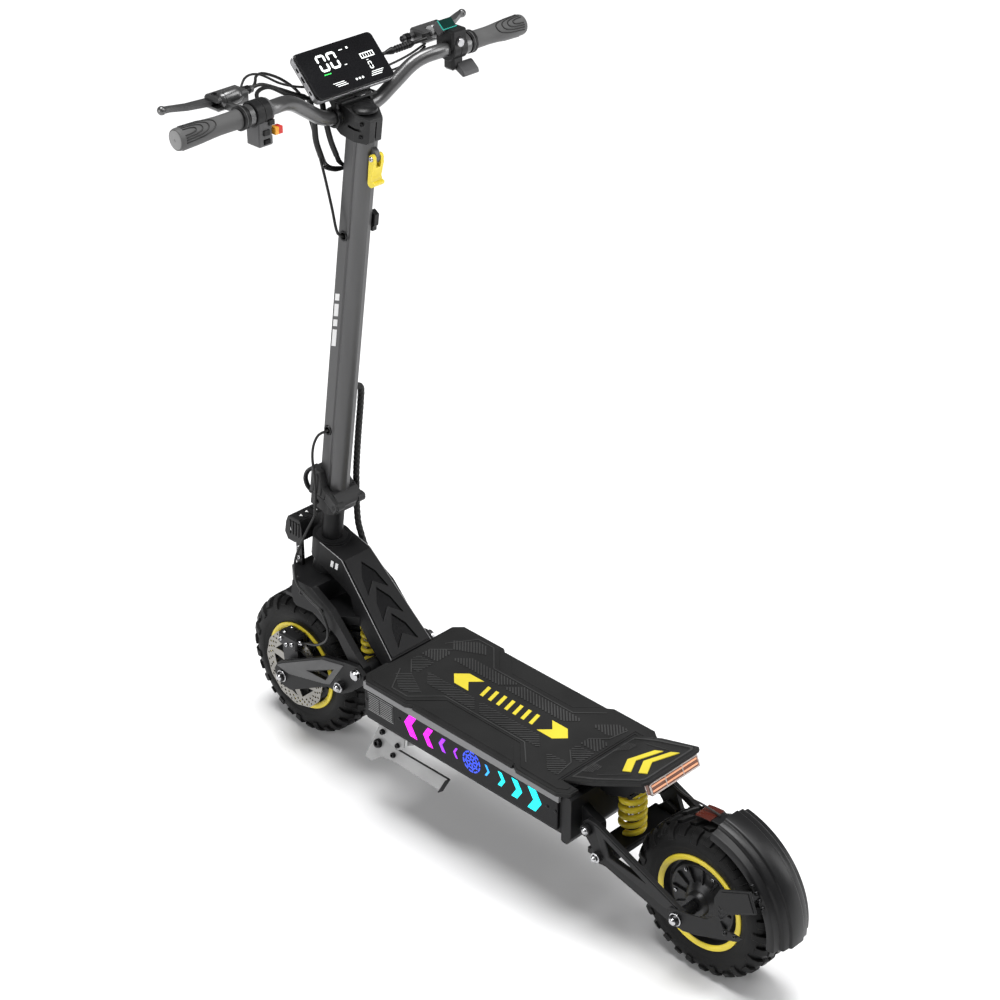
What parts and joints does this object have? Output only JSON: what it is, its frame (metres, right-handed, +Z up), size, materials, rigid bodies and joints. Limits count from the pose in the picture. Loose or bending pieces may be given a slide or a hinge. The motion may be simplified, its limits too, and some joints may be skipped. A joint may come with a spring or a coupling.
{
  "type": "electric kick scooter",
  "caption": "Folding electric kick scooter with sprung swing arms, a wide deck, a raised kick plate, a handlebar with display, and disc-braked pneumatic tyres.",
  "frame": {"origin": "on the ground, at the middle of the scooter's length and width", "axes": "-Y is the riding direction, +X is the rider's left, +Z is up"},
  "size_m": [0.6684, 1.1648, 1.2357],
  "materials": {
    "black_paint": "satin",
    "satin_grey": "satin",
    "dark_alloy": "satin",
    "bright_rail": "brushed",
    "rubber": "matte",
    "grip_rubber": "matte",
    "tyre": "matte",
    "black_plastic": "satin",
    "gloss_black": "gloss",
    "yellow": "gloss",
    "steel": "brushed",
    "chrome": "polished",
    "amber_lens": "gloss",
    "clear_lens": "gloss",
    "grey_plastic": "satin",
    "red_plastic": "gloss",
    "bearing_steel": "ground",
    "blue_wrap": "matte",
    "cable": "matte"
  },
  "bodies": {
    "frame": {"deck_tray": "black_paint", "deck_plate": "bright_rail", "deck_mat": "rubber", "tail_plate": "rubber", "battery_pack": "blue_wrap", "motor_controller": "steel", "side_light_left": "gloss_black", "side_light_right": "gloss_black", "rear_end_cap": "black_paint", "neck_frame": "black_paint", "neck_cover": "black_plastic", "head_bearing_upper": "bearing_steel", "head_bearing_lower": "bearing_steel", "kickstand_bracket": "satin_grey", "tail_light": "amber_lens", "rear_spring": "yellow", "main_loom": "cable"},
    "fork": {"front_fork": "black_paint", "front_fender": "black_plastic", "headlight_housing": "black_plastic", "headlight_lens": "clear_lens", "fold_collar_lower": "satin_grey", "front_pivot_bolt": "chrome", "front_spring": "yellow", "front_brake_cable_lower": "cable"},
    "front_arm": {"front_swing_arm": "satin_grey", "front_axle": "chrome", "front_caliper": "dark_alloy"},
    "front_wheel": {"front_tyre": "tyre", "front_rim": "dark_alloy", "front_rotor": "steel"},
    "stem": {"stem_tube": "satin_grey", "fold_collar_upper": "satin_grey", "bar_clamp": "satin_grey", "handlebar": "dark_alloy", "grip_left": "grip_rubber", "grip_right": "grip_rubber", "display_housing": "black_plastic", "display_glass": "gloss_black", "switch_block": "grey_plastic", "throttle_housing": "grey_plastic", "lever_perch_left": "dark_alloy", "lever_perch_right": "dark_alloy", "front_brake_cable_upper": "cable", "bar_harness": "cable"},
    "brake_lever_left": {"brake_lever_left": "black_paint"},
    "brake_lever_right": {"brake_lever_right": "black_paint"},
    "throttle_paddle": {"throttle_paddle": "black_plastic"},
    "power_button": {"power_button": "steel"},
    "fold_lever": {"fold_lever": "dark_alloy"},
    "stem_hook": {"stem_hook": "yellow"},
    "light_switch": {"light_switch": "red_plastic"},
    "horn_button": {"horn_button": "black_plastic"},
    "kickstand_leg": {"kickstand_leg": "satin_grey"},
    "rear_arm": {"rear_swing_arm": "black_paint", "rear_axle": "chrome", "rear_fender": "black_plastic"},
    "rear_wheel": {"rear_tyre": "tyre", "rear_hub_motor": "dark_alloy"}
  },
  "joints": [
    {"name": "steering", "type": "hinge", "parent": "frame", "child": "fork", "pos_m": [0, -0.40365, 0.39565], "axis": [0, 0.1471, 0.9891], "range_deg": [-45, 45], "deforming": ["main_loom", "front_brake_cable_lower"]},
    {"name": "stem_fold", "type": "hinge", "parent": "fork", "child": "stem", "pos_m": [0, -0.35994, 0.47205], "axis": [-1, 0, 0], "range_deg": [0, 96], "deforming": ["main_loom", "front_brake_cable_lower"]},
    {"name": "fold_lever", "type": "hinge", "parent": "stem", "child": "fold_lever", "pos_m": [0, -0.42278, 0.51172], "axis": [-1, 0, 0], "range_deg": [0, 100]},
    {"name": "stem_hook", "type": "hinge", "parent": "stem", "child": "stem_hook", "pos_m": [0, -0.27085, 1.08461], "axis": [1, 0, 0], "range_deg": [0, 70], "stiffness_Nm_per_rad": 0.03, "springref_deg": -28.65},
    {"name": "brake_lever_left", "type": "hinge", "parent": "stem", "child": "brake_lever_left", "pos_m": [0.215, -0.365, 1.204], "axis": [0, 0, 1], "range_deg": [0, 18], "stiffness_Nm_per_rad": 2, "springref_deg": -11.46},
    {"name": "brake_lever_right", "type": "hinge", "parent": "stem", "child": "brake_lever_right", "pos_m": [-0.215, -0.365, 1.204], "axis": [0, 0, -1], "range_deg": [0, 18], "stiffness_Nm_per_rad": 2, "springref_deg": -11.46},
    {"name": "throttle", "type": "hinge", "parent": "stem", "child": "throttle_paddle", "pos_m": [-0.2, -0.295, 1.17], "axis": [-1, 0, 0], "range_deg": [0, 25], "stiffness_Nm_per_rad": 0.25, "springref_deg": -17.19},
    {"name": "power_button", "type": "slide", "parent": "stem", "child": "power_button", "axis": [0, -1, 0], "range_m": [0, 0.0015], "stiffness_N_per_m": 300, "springref_m": -0.001},
    {"name": "light_switch", "type": "slide", "parent": "stem", "child": "light_switch", "axis": [-1, 0, 0], "range_m": [0, 0.002]},
    {"name": "horn_button", "type": "slide", "parent": "stem", "child": "horn_button", "axis": [0, -1, 0], "range_m": [0, 0.0015], "stiffness_N_per_m": 300, "springref_m": -0.001},
    {"name": "front_suspension", "type": "hinge", "parent": "fork", "child": "front_arm", "pos_m": [0, -0.265, 0.221], "axis": [-1, 0, 0], "range_deg": [0, 5], "stiffness_Nm_per_rad": 150, "springref_deg": -20.05, "deforming": ["front_spring", "front_brake_cable_lower"]},
    {"name": "front_wheel_spin", "type": "hinge", "parent": "front_arm", "child": "front_wheel", "pos_m": [0, -0.455, 0.1275], "axis": [1, 0, 0], "continuous": true},
    {"name": "kickstand", "type": "hinge", "parent": "frame", "child": "kickstand_leg", "pos_m": [0.092, -0.194, 0.13], "axis": [-0.9659, 0, -0.2588], "range_deg": [0, 52]},
    {"name": "rear_suspension", "type": "hinge", "parent": "frame", "child": "rear_arm", "pos_m": [0, 0.247, 0.191], "axis": [1, 0, 0], "range_deg": [0, 8], "stiffness_Nm_per_rad": 150, "springref_deg": -22.92, "deforming": ["rear_spring"]},
    {"name": "rear_wheel_spin", "type": "hinge", "parent": "rear_arm", "child": "rear_wheel", "pos_m": [0, 0.427, 0.1275], "axis": [1, 0, 0], "continuous": true}
  ]
}
